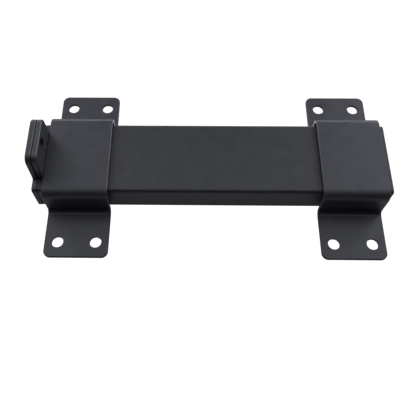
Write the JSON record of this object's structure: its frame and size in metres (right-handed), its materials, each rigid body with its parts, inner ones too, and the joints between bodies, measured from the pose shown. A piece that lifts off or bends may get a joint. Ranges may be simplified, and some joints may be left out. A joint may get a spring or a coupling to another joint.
{
  "type": "sliding bolt",
  "caption": "Heavy box-section sliding bolt in folded sheet straps, with an ear and an end plate that take a padlock.",
  "frame": {"origin": "on the mounting surface, below the middle of the closed bolt", "axes": "+X along the bar from its end plate towards the keeper strap, +Y across the bar, +Z away from the mounting surface"},
  "size_m": [0.2102, 0.115, 0.039],
  "materials": {
    "strap_coat": "fine satin powder coat, black, worn thin on the cut edges",
    "bolt_coat": "fine satin powder coat, black, with light rub marks along the bar"
  },
  "bodies": {
    "straps": {"left_strap": "strap_coat", "right_strap": "strap_coat", "strap_ear": "strap_coat"},
    "bolt": {"bolt_tube": "bolt_coat", "bolt_end_plate": "bolt_coat"}
  },
  "joints": [
    {"name": "bolt_slide", "type": "slide", "parent": "straps", "child": "bolt", "axis": [-1, 0, 0], "range_m": [0, 0.16]}
  ]
}
